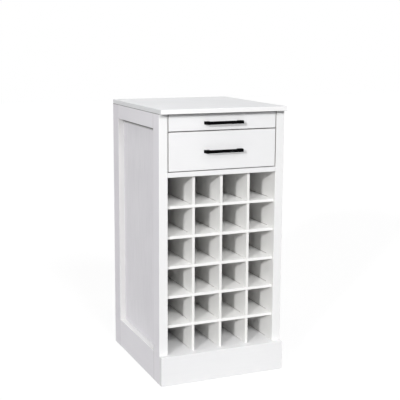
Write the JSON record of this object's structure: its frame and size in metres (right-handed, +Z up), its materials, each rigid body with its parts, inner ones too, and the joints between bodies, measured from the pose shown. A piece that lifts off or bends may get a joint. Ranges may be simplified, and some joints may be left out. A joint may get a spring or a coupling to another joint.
{
  "type": "wine cabinet",
  "caption": "White free-standing wine cabinet with a rack of square cubbies, a drawer, a shallow pull-out tray and black bar handles.",
  "frame": {"origin": "on the floor, below the middle of the whole cabinet, handles included", "axes": "+X to the cabinet's right as seen from its front, +Y to its back, +Z up"},
  "size_m": [0.45, 0.496, 0.92],
  "materials": {
    "white_paint": "white satin paint on board",
    "box_laminate": "white laminate on board, matt",
    "black_handle": "black satin powder coat",
    "zinc_steel": "bright zinc plate",
    "cage_steel": "polished steel"
  },
  "bodies": {
    "cabinet": {"top_panel": "white_paint", "left_front_post": "white_paint", "left_rear_post": "white_paint", "left_top_rail": "white_paint", "left_bottom_rail": "white_paint", "left_side_panel": "white_paint", "right_front_post": "white_paint", "right_rear_post": "white_paint", "right_top_rail": "white_paint", "right_bottom_rail": "white_paint", "right_side_panel": "white_paint", "plinth_board": "white_paint", "drawer_deck": "white_paint", "bottom_board": "white_paint", "back_panel": "white_paint", "rear_top_rail": "white_paint", "rear_bottom_rail": "white_paint", "rack_divider_1": "white_paint", "rack_divider_2": "white_paint", "rack_divider_3": "white_paint", "rack_shelf_1": "white_paint", "rack_shelf_2": "white_paint", "rack_shelf_3": "white_paint", "rack_shelf_4": "white_paint", "rack_shelf_5": "white_paint", "drawer_slide_left_outer": "zinc_steel", "drawer_slide_right_outer": "zinc_steel", "tray_slide_left_outer": "zinc_steel", "tray_slide_right_outer": "zinc_steel"},
    "drawer": {"drawer_front": "white_paint", "drawer_left_side": "box_laminate", "drawer_right_side": "box_laminate", "drawer_back": "box_laminate", "drawer_bottom": "box_laminate", "drawer_handle": "black_handle", "drawer_handle_screw_1": "zinc_steel", "drawer_handle_screw_2": "zinc_steel", "drawer_slide_left_inner": "zinc_steel", "drawer_slide_right_inner": "zinc_steel"},
    "drawer_middle_members": {"drawer_slide_left_middle": "zinc_steel", "drawer_slide_right_middle": "zinc_steel"},
    "drawer_outer_cages": {"drawer_slide_left_outer_cage": "cage_steel", "drawer_slide_right_outer_cage": "cage_steel"},
    "drawer_inner_cages": {"drawer_slide_left_inner_cage": "cage_steel", "drawer_slide_right_inner_cage": "cage_steel"},
    "tray": {"tray_front": "white_paint", "tray_left_side": "box_laminate", "tray_right_side": "box_laminate", "tray_back": "box_laminate", "tray_bottom": "box_laminate", "tray_handle": "black_handle", "tray_handle_screw_1": "zinc_steel", "tray_handle_screw_2": "zinc_steel", "tray_slide_left_inner": "zinc_steel", "tray_slide_right_inner": "zinc_steel"},
    "tray_cages": {"tray_slide_left_cage": "cage_steel", "tray_slide_right_cage": "cage_steel"}
  },
  "joints": [
    {"name": "drawer_travel", "type": "slide", "parent": "cabinet", "child": "drawer", "axis": [0, -1, 0], "range_m": [0, 0.38]},
    {"name": "drawer_middle_travel", "type": "slide", "parent": "cabinet", "child": "drawer_middle_members", "axis": [0, -1, 0], "range_m": [0, 0.19]},
    {"name": "drawer_outer_cage_travel", "type": "slide", "parent": "cabinet", "child": "drawer_outer_cages", "axis": [0, -1, 0], "range_m": [0, 0.095]},
    {"name": "drawer_inner_cage_travel", "type": "slide", "parent": "cabinet", "child": "drawer_inner_cages", "axis": [0, -1, 0], "range_m": [0, 0.285]},
    {"name": "tray_travel", "type": "slide", "parent": "cabinet", "child": "tray", "axis": [0, -1, 0], "range_m": [0, 0.3]},
    {"name": "tray_cage_travel", "type": "slide", "parent": "cabinet", "child": "tray_cages", "axis": [0, -1, 0], "range_m": [0, 0.15]}
  ],
  "couplings": [
    {"joint": "drawer_middle_travel", "follows": "drawer_travel", "ratio": 0.5},
    {"joint": "drawer_outer_cage_travel", "follows": "drawer_travel", "ratio": 0.25},
    {"joint": "drawer_inner_cage_travel", "follows": "drawer_travel", "ratio": 0.75},
    {"joint": "tray_cage_travel", "follows": "tray_travel", "ratio": 0.5}
  ]
}
